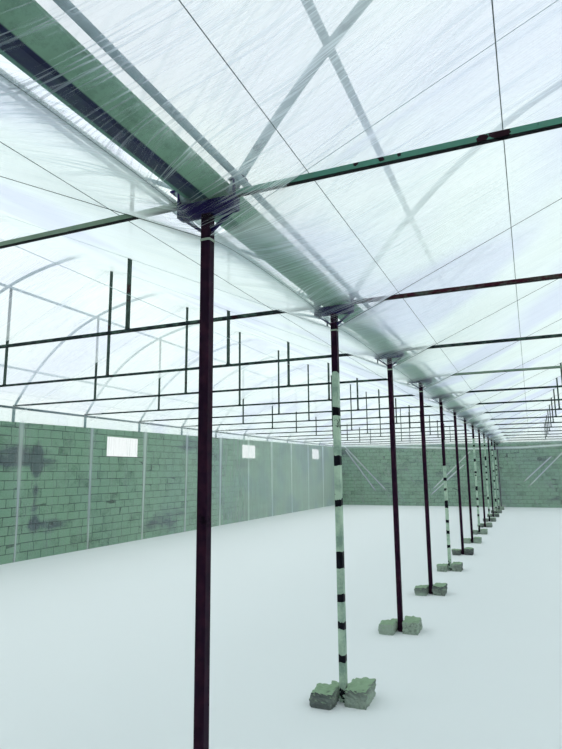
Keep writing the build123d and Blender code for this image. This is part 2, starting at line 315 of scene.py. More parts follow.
def film_material(name, straight, grazing, crease_mm, crease_haze, thrown_back=0.22, crease_shade="#b4c4ca",
                  use_flat=True, seam=False):
    """Cloudy polythene film: clear enough face on to show the pipes behind it, milky at a slant, with
    creases that catch the light and are darkened as painted shade, white with a cast of sea green and of
    lavender. Its haze straight on, at a grazing slant and in the creases, and the light it throws back,
    are shares of one. The creases stand crease_mm millimetres apart, coarser than the real 2 to 5, so that
    they show."""
    made = new_material(name)
    if use_flat:
        flat = add_node(made, "ShaderNodeUVMap", uv_map="flat")
    else:
        flat = add_node(made, "ShaderNodeTexCoord").outputs["Object"]
    facing = add_node(made, "ShaderNodeLayerWeight", {"Blend": 0.5})
    gathered = add_node(made, "ShaderNodeAttribute", attribute_name="gather")
    creased = add_node(made, "ShaderNodeAttribute", attribute_name="creased")
    fine_place = add_node(made, "ShaderNodeMapping",
                          {"Vector": flat, "Scale": (1.6, 1000 / crease_mm, 1.0)})
    fine = add_node(made, "ShaderNodeTexNoise", {"Vector": fine_place, "Scale": 1.0, "Detail": 2.0,
                                                 "Roughness": 0.65, "Distortion": 0.2})
    broad_place = add_node(made, "ShaderNodeMapping",
                           {"Vector": flat, "Scale": (0.35, 1000 / (crease_mm * 8), 1.0)})
    broad = add_node(made, "ShaderNodeTexNoise",
                     {"Vector": broad_place, "Scale": 1.0, "Detail": 1.0, "Roughness": 0.55})
    patches = add_node(made, "ShaderNodeTexNoise",
                       {"Vector": flat, "Scale": 0.6, "Detail": 1.0, "Roughness": 0.5})
    sharp = add_node(made, "ShaderNodeMapRange", {"Value": fine, "From Min": 0.49, "From Max": 0.62})
    where = add_node(made, "ShaderNodeMapRange",
                     {"Value": broad, "From Min": 0.38, "From Max": 0.58, "To Min": 0.15})
    lines = add_node(made, "ShaderNodeMath", {0: sharp, 1: where}, operation="MULTIPLY")
    lines = add_node(made, "ShaderNodeMath", {0: lines, 1: creased.outputs["Fac"]}, operation="MULTIPLY")
    slant = add_node(made, "ShaderNodeMapRange",
                     {"Value": facing.outputs["Facing"], "From Min": 0.30, "From Max": 0.80,
                      "To Min": straight, "To Max": grazing}, interpolation_type="SMOOTHSTEP")
    milky = add_node(made, "ShaderNodeMath", {0: lines, 1: crease_haze, 2: slant},
                     operation="MULTIPLY_ADD")
    milky = add_node(made, "ShaderNodeMath", {0: milky, 1: gathered.outputs["Fac"]},
                     operation="ADD", use_clamp=True)
    bump = add_node(made, "ShaderNodeBump", {"Strength": 0.5, "Distance": 0.008, "Height": fine})
    tone = add_node(made, "ShaderNodeValToRGB", {"Fac": patches},
                    stops=[(0.40, "#ecf0fc"), (0.52, "#f8fffe"), (0.66, "#f6fdfa")])
    # Painted shade: the colour is darkened in the creases towards a bluish or greenish grey
    shadow = add_node(made, "ShaderNodeMath", {0: lines, 1: 0.55}, operation="MULTIPLY")
    colour = add_node(made, "ShaderNodeMix", {"Factor": shadow, 6: tone, 7: crease_shade}, data_type="RGBA")
    if seam:
        across = add_node(made, "ShaderNodeSeparateXYZ", {"Vector": flat})
        from_seam = add_node(made, "ShaderNodeMath", {0: across.outputs["X"]}, operation="ABSOLUTE")
        on_seam = add_node(made, "ShaderNodeMath", {0: from_seam, 1: 0.0025}, operation="LESS_THAN")
        milky = add_node(made, "ShaderNodeMath", {0: on_seam, 1: 0.7, 2: milky},
                         operation="MULTIPLY_ADD", use_clamp=True)
        colour = add_node(made, "ShaderNodeMix", {"Factor": on_seam, 6: colour, 7: "#5c6e6e"},
                          data_type="RGBA")
    through = add_node(made, "ShaderNodeBsdfTranslucent", {"Color": colour, "Normal": bump})
    back = add_node(made, "ShaderNodeBsdfDiffuse", {"Color": colour, "Normal": bump})
    body = add_node(made, "ShaderNodeMixShader", {"Fac": thrown_back, 1: through, 2: back})
    shine = add_node(made, "ShaderNodeBsdfGlossy",
                     {"Color": "#ffffff", "Roughness": 0.25, "Normal": bump})
    body = add_node(made, "ShaderNodeMixShader", {"Fac": 0.05, 1: body, 2: shine})
    clear = add_node(made, "ShaderNodeBsdfTransparent", {"Color": (0.975, 0.99, 0.99, 1.0)})
    whole = add_node(made, "ShaderNodeMixShader", {"Fac": milky, 1: clear, 2: body})
    return finish_material(made, whole)


def paint_material(name, coats, worn, rust, rust_share, gloss=0.06, underside_shade=None, spots=False,
                   stains=()):
    """Brushed paint on steel: one coat, or a coat chosen by the piece's tone, rubbed paler in patches of
    about 70 mm, with rust where it has come off in flakes of about 180 mm, coarser than the real ones so
    that they show. Spots adds the pale lower coat with black tape marks of some posts. Stains are round
    places where the paint is off: x, y, z and reach."""
    made = new_material(name)
    place = add_node(made, "ShaderNodeTexCoord").outputs["Object"]
    wear = add_node(made, "ShaderNodeTexNoise",
                    {"Vector": place, "Scale": 14.0, "Detail": 5.0, "Roughness": 0.6})
    flakes = add_node(made, "ShaderNodeTexNoise",
                      {"Vector": place, "Scale": 5.5, "Detail": 6.0, "Roughness": 0.7})
    rubbed = add_node(made, "ShaderNodeMapRange",
                      {"Value": wear, "From Min": 0.45, "From Max": 0.75, "To Max": 0.6})
    tone = add_node(made, "ShaderNodeAttribute", attribute_name="tone")
    coat = add_node(made, "ShaderNodeValToRGB", {"Fac": tone.outputs["Fac"]},
                    stops=[(i / len(coats), c) for i, c in enumerate(coats)])
    coat.color_ramp.interpolation = "CONSTANT"
    shade = add_node(made, "ShaderNodeMix", {"Factor": rubbed, 6: coat, 7: worn}, data_type="RGBA")
    if spots:
        height = add_node(made, "ShaderNodeSeparateXYZ", {"Vector": place})
        ragged = add_node(made, "ShaderNodeMath", {0: wear, 1: 0.06, 2: height.outputs["Z"]},
                          operation="MULTIPLY_ADD")
        pale_to = add_node(made, "ShaderNodeAttribute", attribute_name="pale_to")
        pale = add_node(made, "ShaderNodeMath", {0: ragged, 1: pale_to.outputs["Fac"]},
                        operation="LESS_THAN")
        pale_coat = add_node(made, "ShaderNodeValToRGB", {"Fac": flakes},
                             stops=[(0.36, "#80978a"), (0.56, "#b4c9b4")])
        shade = add_node(made, "ShaderNodeMix", {"Factor": pale, 6: shade, 7: pale_coat},
                         data_type="RGBA")
        shift = add_node(made, "ShaderNodeAttribute", attribute_name="shift")
        along = add_node(made, "ShaderNodeMath", {0: ragged, 1: shift.outputs["Fac"]}, operation="ADD")
        along = add_node(made, "ShaderNodeMath", {0: along, 1: mark_repeat, 2: 0.0}, operation="WRAP")
        along = add_node(made, "ShaderNodeMath", {0: along, 1: mark_repeat}, operation="DIVIDE")
        marks = add_node(made, "ShaderNodeValToRGB", {"Fac": along}, stops=mark_stops)
        marks.color_ramp.interpolation = "CONSTANT"
        foot = add_node(made, "ShaderNodeMapRange",
                        {"Value": height.outputs["Z"], "From Min": 0.0, "From Max": 0.55, "To Min": 0.46,
                         "To Max": 0.78})
        scraped = add_node(made, "ShaderNodeMath", {0: foot, 1: flakes}, operation="LESS_THAN")
        mark = add_node(made, "ShaderNodeMath", {0: marks, 1: scraped}, operation="MAXIMUM")
        marked = add_node(made, "ShaderNodeMath", {0: mark, 1: pale}, operation="MULTIPLY")
        shade = add_node(made, "ShaderNodeMix", {"Factor": marked, 6: shade, 7: "#14141c"},
                         data_type="RGBA")
    flaked = add_node(made, "ShaderNodeMapRange",
                      {"Value": flakes, "From Min": 1.0 - rust_share, "From Max": 1.04 - rust_share})
    for *stain_at, reach in stains:
        away = add_node(made, "ShaderNodeVectorMath", {0: place, 1: stain_at}, operation="DISTANCE")
        ragged = add_node(made, "ShaderNodeMath", {0: wear, 1: -5 * reach, 2: away},
                          operation="MULTIPLY_ADD")
        inside = add_node(made, "ShaderNodeMath", {0: ragged, 1: -1.5 * reach}, operation="LESS_THAN")
        flaked = add_node(made, "ShaderNodeMath", {0: inside, 1: flaked}, operation="MAXIMUM")
    shade = add_node(made, "ShaderNodeMix", {"Factor": flaked, 6: shade, 7: rust}, data_type="RGBA")
    # Painted shade: faces turned downwards are painted the given dark colour, near black on the ties
    if underside_shade:
        face = add_node(made, "ShaderNodeNewGeometry")
        split = add_node(made, "ShaderNodeSeparateXYZ", {"Vector": face.outputs["True Normal"]})
        shade_below = add_node(made, "ShaderNodeMapRange",
                         {"Value": split.outputs["Z"], "From Min": -0.3, "From Max": -0.8})
        shade = add_node(made, "ShaderNodeMix", {"Factor": shade_below, 6: shade, 7: underside_shade},
                         data_type="RGBA")
    grain = add_node(made, "ShaderNodeBump", {"Strength": 0.25, "Distance": 0.001, "Height": flakes})
    rough = add_node(made, "ShaderNodeMapRange", {"Value": flaked, "To Min": 0.5, "To Max": 0.9})
    surface = add_node(made, "ShaderNodeBsdfPrincipled",
                       {"Base Color": shade, "Roughness": rough, "Specular IOR Level": gloss,
                        "Normal": grain})
    return finish_material(made, surface)


def masonry_material(name, dark, pale, damp, damp_share, moss=None):
    """Dense concrete: each block its own tone of grey-green, rough with grit that is drawn at 22 mm,
    coarser than the real few millimetres so that it shows, with bluish damp patches in bands over many
    blocks."""
    made = new_material(name)
    place = add_node(made, "ShaderNodeTexCoord").outputs["Object"]
    tone = add_node(made, "ShaderNodeAttribute", attribute_name="tone")
    grit = add_node(made, "ShaderNodeTexNoise",
                    {"Vector": place, "Scale": 45.0, "Detail": 5.0, "Roughness": 0.7})
    smears = add_node(made, "ShaderNodeTexNoise",
                      {"Vector": place, "Scale": 3.0, "Detail": 4.0, "Roughness": 0.6})
    bands = add_node(made, "ShaderNodeMapping", {"Vector": place, "Scale": (0.35, 0.35, 1.6)})
    stained = add_node(made, "ShaderNodeTexNoise",
                       {"Vector": bands, "Scale": 1.0, "Detail": 5.0, "Roughness": 0.6})
    mottled = add_node(made, "ShaderNodeMath", {0: tone.outputs["Fac"], 1: 0.35, 2: grit},
                       operation="MULTIPLY_ADD")
    mottled = add_node(made, "ShaderNodeMath", {0: smears, 1: 0.8, 2: mottled}, operation="MULTIPLY_ADD")
    colour = add_node(made, "ShaderNodeValToRGB", {"Fac": mottled}, stops=[(0.69, dark), (1.11, pale)])
    for middle, reach in damp_places:
        from_middle = add_node(made, "ShaderNodeMapping",
                               {"Vector": place, "Location": middle, "Scale": reach},
                               vector_type="TEXTURE")
        away = add_node(made, "ShaderNodeVectorMath", {0: from_middle}, operation="LENGTH")
        here = add_node(made, "ShaderNodeMapRange",
                        {"Value": away, "From Min": 0.2, "From Max": 1.5, "To Min": 0.25, "To Max": 0.0})
        stained = add_node(made, "ShaderNodeMath", {0: stained, 1: here}, operation="ADD")
    wet = add_node(made, "ShaderNodeMapRange",
                   {"Value": stained, "From Min": 0.62 - damp_share, "From Max": 0.74 - damp_share,
                    "To Max": 0.75})
    shade = add_node(made, "ShaderNodeMix", {"Factor": wet, 6: colour, 7: damp}, data_type="RGBA")
    if moss:
        face = add_node(made, "ShaderNodeNewGeometry")
        split = add_node(made, "ShaderNodeSeparateXYZ", {"Vector": face.outputs["True Normal"]})
        lying = add_node(made, "ShaderNodeMath", {0: grit, 1: 1.1, 2: split.outputs["Z"]},
                         operation="MULTIPLY_ADD")
        grown = add_node(made, "ShaderNodeMapRange", {"Value": lying, "From Min": 0.85, "From Max": 1.35})
        shade = add_node(made, "ShaderNodeMix", {"Factor": grown, 6: shade, 7: moss}, data_type="RGBA")
    bump = add_node(made, "ShaderNodeBump", {"Strength": 0.6, "Distance": 0.003, "Height": grit})
    surface = add_node(made, "ShaderNodeBsdfPrincipled",
                       {"Base Color": shade, "Roughness": 0.92, "Normal": bump})
    return finish_material(made, surface)


def gutter_material():
    """Galvanised sheet painted grey-green, with painted shade on its left face in a dark bluish purple,
    paler and plainer further along, with grime in patches of about 110 mm."""
    made = new_material("grey-green painted gutter sheet")
    place = add_node(made, "ShaderNodeTexCoord").outputs["Object"]
    split = add_node(made, "ShaderNodeSeparateXYZ", {"Vector": place})
    side = add_node(made, "ShaderNodeMapRange",
                    {"Value": split.outputs["X"], "From Min": -0.16, "From Max": 0.16})
    # Painted shade: the left face is painted a dark bluish purple beside a lighter green strip at its lip,
    # the right face keeps the grey-green paint
    faces = add_node(made, "ShaderNodeValToRGB", {"Fac": side},
                     stops=[(0.0, "#6a9484"), (0.17, "#5a8272"), (0.21, "#1e2442"), (0.55, "#1c2040"),
                            (0.57, "#7d9d86"), (1.0, "#88a795")])
    grime = add_node(made, "ShaderNodeTexNoise",
                     {"Vector": place, "Scale": 9.0, "Detail": 8.0, "Roughness": 0.8})
    dirty = add_node(made, "ShaderNodeMapRange",
                     {"Value": grime, "From Min": 0.48, "From Max": 0.72, "To Max": 0.6})
    # Further along, the painted shade on the left face gives way to grey-green
    further = add_node(made, "ShaderNodeMapRange",
                       {"Value": split.outputs["Y"], "From Min": frames[2] - 0.2,
                        "From Max": frames[2] + 0.5, "To Max": 0.8})
    painted_shade_further = add_node(made, "ShaderNodeMix", {"Factor": further, 6: faces, 7: "#6d977c"}, data_type="RGBA")
    shade = add_node(made, "ShaderNodeMix", {"Factor": dirty, 6: painted_shade_further, 7: "#39504a"}, data_type="RGBA")
    surface = add_node(made, "ShaderNodeBsdfPrincipled",
                       {"Base Color": shade, "Roughness": 0.6, "Specular IOR Level": 0.2})
    return finish_material(made, surface)


def pale_beyond(name, dark, pale, x, y=None):
    """Dull metal or string with painted light: pale left of x, where the milky film in front of it veils
    it.
    Given a y, it is the other way about nearer than that y."""
    made = new_material(name)
    place = add_node(made, "ShaderNodeTexCoord").outputs["Object"]
    split = add_node(made, "ShaderNodeSeparateXYZ", {"Vector": place})
    # Painted light: where this mask is set, the colour is the pale one
    painted_light_mask = add_node(made, "ShaderNodeMath", {0: split.outputs["X"], 1: x}, operation="LESS_THAN")
    if y is not None:
        nearer = add_node(made, "ShaderNodeMath", {0: split.outputs["Y"], 1: y}, operation="LESS_THAN")
        differ = add_node(made, "ShaderNodeMath", {0: painted_light_mask, 1: nearer}, operation="SUBTRACT")
        painted_light_mask = add_node(made, "ShaderNodeMath", {0: differ}, operation="ABSOLUTE")
    dull = add_node(made, "ShaderNodeTexNoise",
                    {"Vector": place, "Scale": 9.0, "Detail": 5.0, "Roughness": 0.6})
    patched = add_node(made, "ShaderNodeMapRange",
                       {"Value": dull, "From Min": 0.4, "From Max": 0.9, "To Min": 1.0, "To Max": 0.7})
    shade = add_node(made, "ShaderNodeMix", {"Factor": painted_light_mask, 6: dark, 7: pale}, data_type="RGBA")
    mottled = add_node(made, "ShaderNodeVectorMath", {0: shade, "Scale": patched}, operation="SCALE")
    surface = add_node(made, "ShaderNodeBsdfPrincipled",
                       {"Base Color": mottled, "Roughness": 0.6, "Specular IOR Level": 0.3})
    return finish_material(made, surface)


# Materials, each named for what the real one is
lining_film = film_material("polythene lining film, cloudy", 0.30, 0.97, 13.0, 0.75, seam=True)
roof_film = film_material("polythene roof film, dusty", 0.45, 0.97, 30.0, 0.15)
# The wall and end films take a greenish grey for the painted shade in their creases
wall_film = film_material("polythene wall film, thin", 0.06, 0.50, 26.0, 0.18, thrown_back=0.85,
                          crease_shade="#bcd6c8")
far_film = film_material("polythene film of the end linings", 0.14, 0.60, 40.0, 0.30, thrown_back=0.85,
                         crease_shade="#bcd6c8")
outer_film = film_material("polythene outer film, dusty", 0.35, 0.90, 60.0, 0.10, use_flat=False)

# Heights of the black tape marks up one pale post, repeated above it and shifted on the others
marked_post, mark_repeat, mark_shift = 3, 2.4, 0.77
mark_stops = [(0.0, "#000000")]
for low, high in ((0.30, 0.35), (0.52, 0.575), (0.71, 0.765), (0.95, 1.07), (1.40, 1.46),
                  (1.71, 1.79), (2.10, 2.16)):
    mark_stops += [(low / mark_repeat, "#ffffff"), (high / mark_repeat, "#000000")]

post_enamel = paint_material("dark red enamel on tube", ["#220e22"], "#43202f", "#120a14", 0.38,
                             spots=True)
near_face = frames[2] - 0.015
tie_stains = [(1.345, near_face, 2.974, 0.032), (1.29, near_face, 2.968, 0.020),
              (0.757, near_face, 2.98, 0.012), (0.867, near_face, 2.975, 0.014),
              (0.95, near_face, 2.976, 0.010), (-0.9, frames[3], 2.97, 0.04)]
tie_coats = ["#20292c", "#7b8d7c", "#548777", "#3a1420"]
# Painted shade: the ties' downward faces are painted near black
tie_enamel = paint_material("old enamel on tie tube", tie_coats, "#5f7d6c", "#2c1a22", 0.37,
                            underside_shade="#06070c", stains=tie_stains)
strut_paint = paint_material("grey-green paint on strut tube", ["#36453f"], "#566860", "#3a2a2c", 0.40)
rail_paint = paint_material("grey-green paint on eave rail", ["#3e5458"], "#607678", "#4a4a52", 0.34)
stub_paint = paint_material("pale paint on stubs", ["#7f9496"], "#96a8a6", "#6a7072", 0.34)
saddle_paint = paint_material("dark purple paint on plate", ["#20154a"], "#382e62", "#100c20", 0.38)
dull_pipe = paint_material("dull galvanised pipe", ["#98a7ab"], "#aebbbd", "#717d84", 0.40, gloss=0.3)
weld_metal = paint_material("dark weld metal", ["#1c1c20"], "#34302e", "#2c1a16", 0.40)
# Painted light: the gutter rails, wires and strings are painted pale where the film in front veils them
rail_pipe = pale_beyond("dull galvanised pipe, painted light on the left", "#93a2a7", "#eef4f4", 0.0)
wire_finish = pale_beyond("dull wire", "#4c5856", "#c2cfcf", -0.9)
string_finish = pale_beyond("plastic string", "#3f4a47", "#d2dbde", 0.0, frames[2] + bay / 2)
knot_finish = paint_material("dark string knots", ["#3c4644"], "#5a6462", "#2c3432", 0.40)
pale_string = paint_material("pale plastic string", ["#a9b5a6"], "#ccd4c6", "#7b867a", 0.38)
gutter_finish = gutter_material()
block_finish = masonry_material("dense concrete block", "#3a5d46", "#7a9e82", "#2b2d48", 0.03)
mortar_finish = masonry_material("cement mortar in the joints", "#141d1a", "#4c6a56", "#181a2c", 0.02)
broken_concrete = masonry_material("broken concrete with moss", "#3e4743", "#98a698", "#2c2838", 0.16,
                                   moss="#839d80")

# Camera
forward = Vector((-sin(yaw) * cos(pitch), cos(yaw) * cos(pitch), sin(pitch)))
level = Vector((cos(yaw), sin(yaw), 0))
upright = level.cross(forward)
right = level * cos(roll) + upright * sin(roll)
up = upright * cos(roll) - level * sin(roll)
lens = bpy.data.cameras.new("photo camera")
lens.sensor_width = sensor_mm
lens.sensor_fit = "AUTO"
lens.lens = focal_pixels * sensor_mm / image_height
lens.clip_end = 200
camera = bpy.data.objects.new("photo camera", lens)
camera.matrix_world = Matrix((right, up, -forward)).transposed().to_4x4()
camera.location = eye
scene.collection.objects.link(camera)
scene.camera = camera

# Soft studio light: an even sky, white to the camera, and a wide sun
scene.world = bpy.data.worlds.new("soft sky")
scene.world.use_nodes = True
scene.world.node_tree.nodes.clear()
sky = add_node(scene.world, "ShaderNodeBackground", {"Color": "#fafffe", "Strength": 1.27})
seen_sky = add_node(scene.world, "ShaderNodeBackground", {"Color": "#fbffff"})
ray = add_node(scene.world, "ShaderNodeLightPath")
both = add_node(scene.world, "ShaderNodeMixShader",
                {"Fac": ray.outputs["Is Camera Ray"], 1: sky, 2: seen_sky})
add_node(scene.world, "ShaderNodeOutputWorld", {"Surface": both})
sun_light = bpy.data.lights.new("soft sun", "SUN")
sun_light.energy = 0.7
sun_light.angle = radians(90)
sun = bpy.data.objects.new("soft sun", sun_light)
sun.rotation_euler = (radians(25), radians(15), 0)
scene.collection.objects.link(sun)
scene.view_settings.view_transform = "Standard"

# Floor
floor_reach = 90
ground = bmesh.new()
bmesh.ops.create_grid(ground, x_segments=1, y_segments=1, size=floor_reach)
ground_mesh = bpy.data.meshes.new("studio floor")
ground.to_mesh(ground_mesh)
ground.free()
floor_finish = new_material("pale matt floor")
matt = add_node(floor_finish, "ShaderNodeBsdfPrincipled", {"Base Color": "#dfe3e4", "Roughness": 0.9})
finish_material(floor_finish, matt)
ground_mesh.materials.append(floor_finish)
studio_floor = bpy.data.objects.new("studio floor", ground_mesh)
scene.collection.objects.link(studio_floor)

# Valley posts: square tube; by number, those that are pale with black marks up to a height
pale_posts = {3: 2.44, 6: 1.75, 9: 2.5, 11: 2.7, 13: 2.6, 14: 2.5}
posts = boxes([box((-half_post, half_post), (y - half_post, y + half_post), (0, post_top))
               for y in frames], post_wear)
pale_to = posts.verts.layers.float.new("pale_to")
shift = posts.verts.layers.float.new("shift")
for v in posts.verts:
    number = nearest_frame(v.co.y)
    v[pale_to] = pale_posts.get(number, 0.0)
    v[shift] = mark_shift * (number - marked_post)
piece("square_post_tubes", posts, post_enamel, ["valley_posts"])

# Ties: square tube, dark but for these coats by frame and side: 1 grey-green, 2 green, 3 dark red
coat_at = {(2, 1): 2, (2, -1): 1, (3, 1): 3, (5, 1): 1}
for side, name in ((1, "tie_beams_right"), (-1, "tie_beams_left")):
    sizes = [box((side * tie_low.x, side * tie_high.x), (y - tie_side / 2, y + tie_side / 2),
                 (tie_low.z, tie_high.z), (coat_at.get((i, side), 0) + 0.5) / len(tie_coats))
             for i, y in enumerate(frames)]
    piece("enamelled_" + name, boxes(sizes, tie_wear), tie_enamel, [name])

# Arches: smooth bent pipes, the valley foot lifted so that its sloping end stays off the flange
points = [arch_point(-1 + 2 * i / arch_stops) for i in range(arch_stops + 1)]
path = [Vector((x, 0, z)) for x, z in points]
for end, after, foot_z in ((0, 1, saddle_high.z + seat + foot_lift), (-1, -2, tie_high.z + seat)):
    path[end] += (path[after] - path[end]) * ((foot_z - path[end].z) / (path[after].z - path[end].z))
for side, name in ((1, "arches_right"), (-1, "arches_left")):
    bent = swept(path, arch_radius, arch_sides)
    if side < 0:
        bmesh.ops.scale(bent, vec=(-1, 1, 1), verts=bent.verts)
        bmesh.ops.recalc_face_normals(bent, faces=bent.faces)
    piece("bent_" + name, repeated(bent, [Matrix.Translation((0, y, 0)) for y in frames]), dull_pipe,
          [name], smooth=True)

# Roof film: one sheet over each span
roof_inset, roof_sag, roof_hold = 0.005, 0.010, 0.08
roof_half = half_length - roof_inset
roof_gap = arch_radius + seat + film / 2
roof_start, roof_stop = -0.97, 0.985
roof_grid = 64, bays * 16
steps = 200
line = [arch_offset(roof_start + (roof_stop - roof_start) * i / steps, roof_gap)
        for i in range(steps + 1)]
roof_width = sum(hypot(b[0] - a[0], b[1] - a[1]) for a, b in zip(line, line[1:]))


def roof_shape(side):
    def shape(u, v):
        y = roof_half * (2 * v - 1)
        sag = roof_sag * mid_bay(y) * (smooth_step(0, roof_hold, u) * smooth_step(0, roof_hold, 1 - u))
        x, z = arch_offset(roof_start + (roof_stop - roof_start) * u, roof_gap - sag)
        return (side * x, y, z), (u * roof_width, y), 0.0, 1.0
    return shape


for side, name in ((1, "right"), (-1, "left")):
    sheet = cloth(*roof_grid, roof_shape(side))
    if side > 0:
        bmesh.ops.reverse_faces(sheet, faces=sheet.faces)
    roof = piece(f"roof_film_{name}", sheet, roof_film,
                 [f"roof_film_{name}_inner", f"roof_film_{name}_outer"], smooth=True)


# Inner lining: one sheet through both spans, tied down at the posts and drawn up between them
lining_x = wall_in - seat
lining_stretch = hypot(1, lining_slope)
lining_grid = 56, 1500
bay_sag = 0.012

# Out from the crease: the first slope on the right and on the left, and where it turns into the tent's
slope_right, slope_left = 0.16, 0.24
turn_start, turn_stop = 0.6, 0.9
turn_sharp, turn_drawn = 0.002, 0.03

# Along the crease: how soon it rises after a post and falls before the next
rise_over, fall_over, full_lift = 0.45, 0.08, 1.03

# Beside each string: the middle and half the width of the strip where the film is doubled
doubled_at, doubled_half = 0.045, 0.022


def drawn_up(y):
    """How far the crease is drawn up: 0 at a post, about 1 in the bay, and quick to fall before a post."""
    past = (y + half_length) % bay
    return full_lift * (1 - exp(-past / rise_over)) * (1 - exp(-(bay - past) / fall_over))


def lining_haze(x, y, out, on_right):
    """What is added to the lining's haze: less beside the crease at the near end and along the eaves,
    more upwards on the right, in the gathers at the posts and where the film is doubled at each string."""
    near_end = exp(-max(y - frames[2] - 1.2, 0) / 2.2)
    haze = -0.48 * exp(-(out / 0.42) ** 2) * near_end if on_right else -0.15 * exp(-out / 0.8)
    haze += 0.16 * smooth_step(0.5, 3.0, x) - 0.55 * smooth_step(6.9, 7.5, abs(x))
    haze -= 0.17 * smooth_step(3.0, 4.5, -x)
    from_post = min((y + half_length) % bay, (-y - half_length) % bay)
    haze += 0.20 * exp(-(from_post / 0.17) ** 2) * smooth_step(0.10, 0.22, out) * exp(-out)
    beside = (y + half_length - doubled_at) % bay
    haze += 0.30 * exp(-(min(beside, bay - beside) / doubled_half) ** 2) * smooth_step(0.3, 0.6, out)
    return haze


def lining_shape(u, v):
    y = lining_end * (2 * v - 1)
    lift = drawn_up(y)
    crease_x, crease_z = -crease_shift * lift, lining_valley + crease_lift * lift
    across = 2 * u - 1
    on_right = across > 0
    reach = lining_x - crease_x if on_right else lining_x + crease_x
    out = abs(across) ** 1.5 * reach
    x = crease_x + (out if on_right else -out)
    rise = crease_z + (slope_right if on_right else slope_left) * out
    z = tent = lining_z(x)
    if out < turn_stop:
        z = (tent + rise + hypot(tent - rise, turn_sharp + turn_drawn * lift)) / 2
    if turn_start < out < turn_stop:
        z += (tent - z) * smooth_step(turn_start, turn_stop, out)
    z -= bay_sag * mid_bay(y) * smooth_step(0.6, 1.5, abs(x))
    near_valley = exp(-out / 0.9)
    ripple = 0.005 * noise.noise(Vector((abs(x) * 0.9, y * 14, 3.1)))
    ripple += 0.010 * noise.noise(Vector((abs(x) * 0.6, y * 4.5, 7.7)))
    z += ripple * (0.25 + 0.75 * near_valley) * smooth_step(0, 0.12, out)
    creased = 0.28 + 0.72 * near_valley * (smooth_step(0.0, 0.06, out) if on_right else 0.8)
    # The creases run together towards each post
    beyond = y - frames[nearest_frame(y)]
    drawn_in = beyond * 1.5 * exp(-out / 0.5 - (beyond / 0.45) ** 2)
    flat = (x - crease_x) * lining_stretch, y + drawn_in
    return (x, y, z + film / 2), flat, lining_haze(x, y, out, on_right), creased


sheet = cloth(*lining_grid, lining_shape)
lining = piece("inner_lining", sheet, lining_film,
               ["lining_left_valley_slope", "lining_left_eave_slope", "lining_right_valley_slope",
                "lining_right_eave_slope"], smooth=True)

# Wall linings: film hung inside each side wall, gathered at each frame in a fold that widens upwards
hang_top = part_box("wall_linings")[1].z
hang_grid = bays * 50, 32
hang_gap = 0.004


def wall_lining_shape(side):
    def shape(u, v):
        y = lining_end * (2 * u - 1)
        z = hang_top * v
        number = nearest_frame(y)
        middle = frames[number] + 0.10 + 0.04 * sin(number * 5.3) * (1 - v)
        fold = exp(-((y - middle) / (0.030 + (0.050 + 0.012 * sin(number * 2.9)) * v * v)) ** 2)
        fold *= smooth_step(side_top(y) + 0.08, side_top(y) - 0.04, z) * (0.85 + 0.15 * sin(number * 3.7))
        waver = 0.002 * noise.noise(Vector((y * 5, z * 0.6, side * 9.0)))
        x = side * (wall_in - seat - film / 2 - hang_gap + waver)
        return (x, y, z), (z, y), 0.48 * fold, 1.0
    return shape


for side, name in ((1, "right"), (-1, "left")):
    sheet = cloth(*hang_grid, wall_lining_shape(side))
    if side > 0:
        bmesh.ops.reverse_faces(sheet, faces=sheet.faces)
    hung = piece(f"wall_lining_{name}", sheet, wall_film, ["wall_linings"], smooth=True)

# End linings: film hung inside the far and near walls, the near one with the doorway cut in it
eave_stop = lining_x - film

# The white hem tied along the far lining: its height at the posts, how far it is level there, its slope up
# to the eaves and half its width
hem_low, hem_level, hem_slope, hem_half = 2.63, 1.0, 0.045, 0.045

# Slanting folds of the far lining, each from a high point to a low one, and half their width
far_folds = [((-7.25, 2.90), (-5.16, 0.68)), ((-7.20, 2.72), (-5.69, 0.66)),
             ((-1.2, 2.50), (-3.0, 0.75)), ((-1.5, 1.90), (-3.1, 0.50)),
             ((3.0, 2.70), (1.2, 0.9)), ((2.2, 2.2), (1.0, 1.1))]
fold_half = 0.026


def end_lining_shape(y, is_far):
    def shape(u, v):
        x = eave_stop * (2 * u - 1)
        z = (lining_z(x) - hang_gap) * v
        folds = 0.0015 * noise.noise(Vector((x * 3 + z, z * 1.5, y)))
        gather = 0.0
        if is_far:
            hem = hem_low + hem_slope * max(abs(x) - hem_level, 0)
            gather = 0.65 * exp(-((z - hem) / hem_half) ** 2)
            for (xa, za), (xb, zb) in far_folds:
                away = ((x - xa) * (zb - za) - (z - za) * (xb - xa)) / hypot(xb - xa, zb - za)
                within = smooth_step(zb - 0.1, zb + 0.2, z) * (z < za)
                gather += 0.50 * exp(-(away / fold_half) ** 2) * within
        return (x, y + folds, z), (z, x + 0.5 * z), gather, 0.6
    return shape


